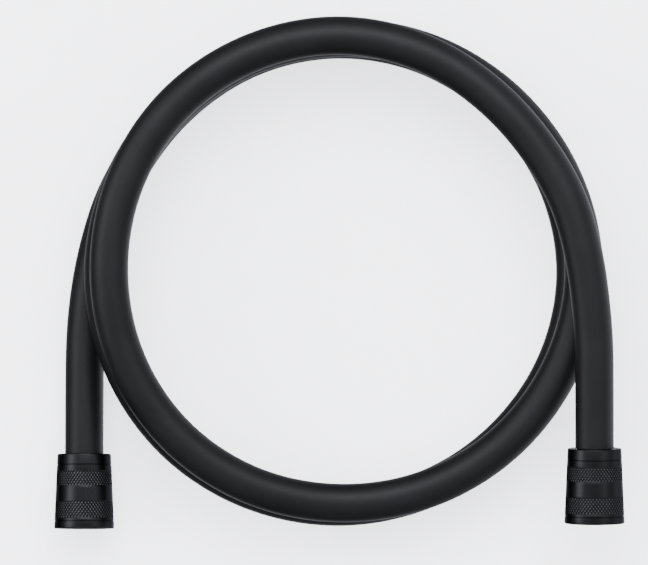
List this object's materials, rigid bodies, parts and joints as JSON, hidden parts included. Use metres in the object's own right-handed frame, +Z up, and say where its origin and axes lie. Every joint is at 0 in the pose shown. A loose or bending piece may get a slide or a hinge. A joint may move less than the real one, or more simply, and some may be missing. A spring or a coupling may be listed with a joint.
{
  "type": "shower hose",
  "caption": "Smooth flexible shower hose lying in loose round turns, with a conical threaded swivel nut on each end.",
  "frame": {"origin": "middle of the footprint, on the surface that the coiled hose lies on", "axes": "+Z up from the surface, both legs and nut mouths point along -Y, the inlet leg is on the -X side and the outlet leg on the +X side"},
  "size_m": [0.2364, 0.2128, 0.0492],
  "materials": {
    "hose_pvc": "smooth satin black plasticised PVC",
    "braid_yarn": "white polyester yarn braid",
    "liner_pvc": "translucent drinking-water grade liner",
    "nut_black": "satin black coating over brass, two fine diamond-textured bands",
    "bush_plastic": "moulded black acetal",
    "slip_plastic": "natural acetal, slippery",
    "washer_rubber": "soft black EPDM",
    "brass": "turned brass",
    "stainless": "pressed stainless steel",
    "strainer_wire": "fine stainless wire"
  },
  "bodies": {
    "root": {"hose_jacket": "hose_pvc", "reinforcing_braid": "braid_yarn", "inner_liner": "liner_pvc", "inlet_tail": "brass", "inlet_ferrule": "stainless", "inlet_washer": "washer_rubber", "inlet_strainer_rim": "bush_plastic", "inlet_strainer_mesh": "strainer_wire", "outlet_tail": "brass", "outlet_ferrule": "stainless", "outlet_swivel_orings": "washer_rubber", "outlet_retaining_clip": "stainless"},
    "inlet_slip_ring": {"inlet_slip_ring": "slip_plastic"},
    "inlet_nut": {"inlet_nut": "nut_black", "inlet_guide_bush": "bush_plastic"},
    "outlet_swivel": {"outlet_swivel_head": "brass", "outlet_washer": "washer_rubber"},
    "outlet_slip_ring": {"outlet_slip_ring": "slip_plastic"},
    "outlet_nut": {"outlet_nut": "nut_black", "outlet_guide_bush": "bush_plastic"}
  },
  "joints": [
    {"name": "inlet_nut_slide", "type": "slide", "parent": "root", "child": "inlet_slip_ring", "axis": [0, 0.9991, -0.0435], "range_m": [0, 0.006]},
    {"name": "inlet_nut_spin", "type": "hinge", "parent": "inlet_slip_ring", "child": "inlet_nut", "pos_m": [-0.1057, -0.09101, 0.01184], "axis": [0, 0.9991, -0.0435], "continuous": true},
    {"name": "outlet_twist", "type": "hinge", "parent": "root", "child": "outlet_swivel", "pos_m": [0.1057, -0.08522, 0.03674], "axis": [0, 0.9986, 0.0523], "continuous": true},
    {"name": "outlet_nut_slide", "type": "slide", "parent": "outlet_swivel", "child": "outlet_slip_ring", "axis": [0, 0.9986, 0.0523], "range_m": [0, 0.006]},
    {"name": "outlet_nut_spin", "type": "hinge", "parent": "outlet_slip_ring", "child": "outlet_nut", "pos_m": [0.1057, -0.08832, 0.03658], "axis": [0, 0.9986, 0.0523], "continuous": true}
  ]
}
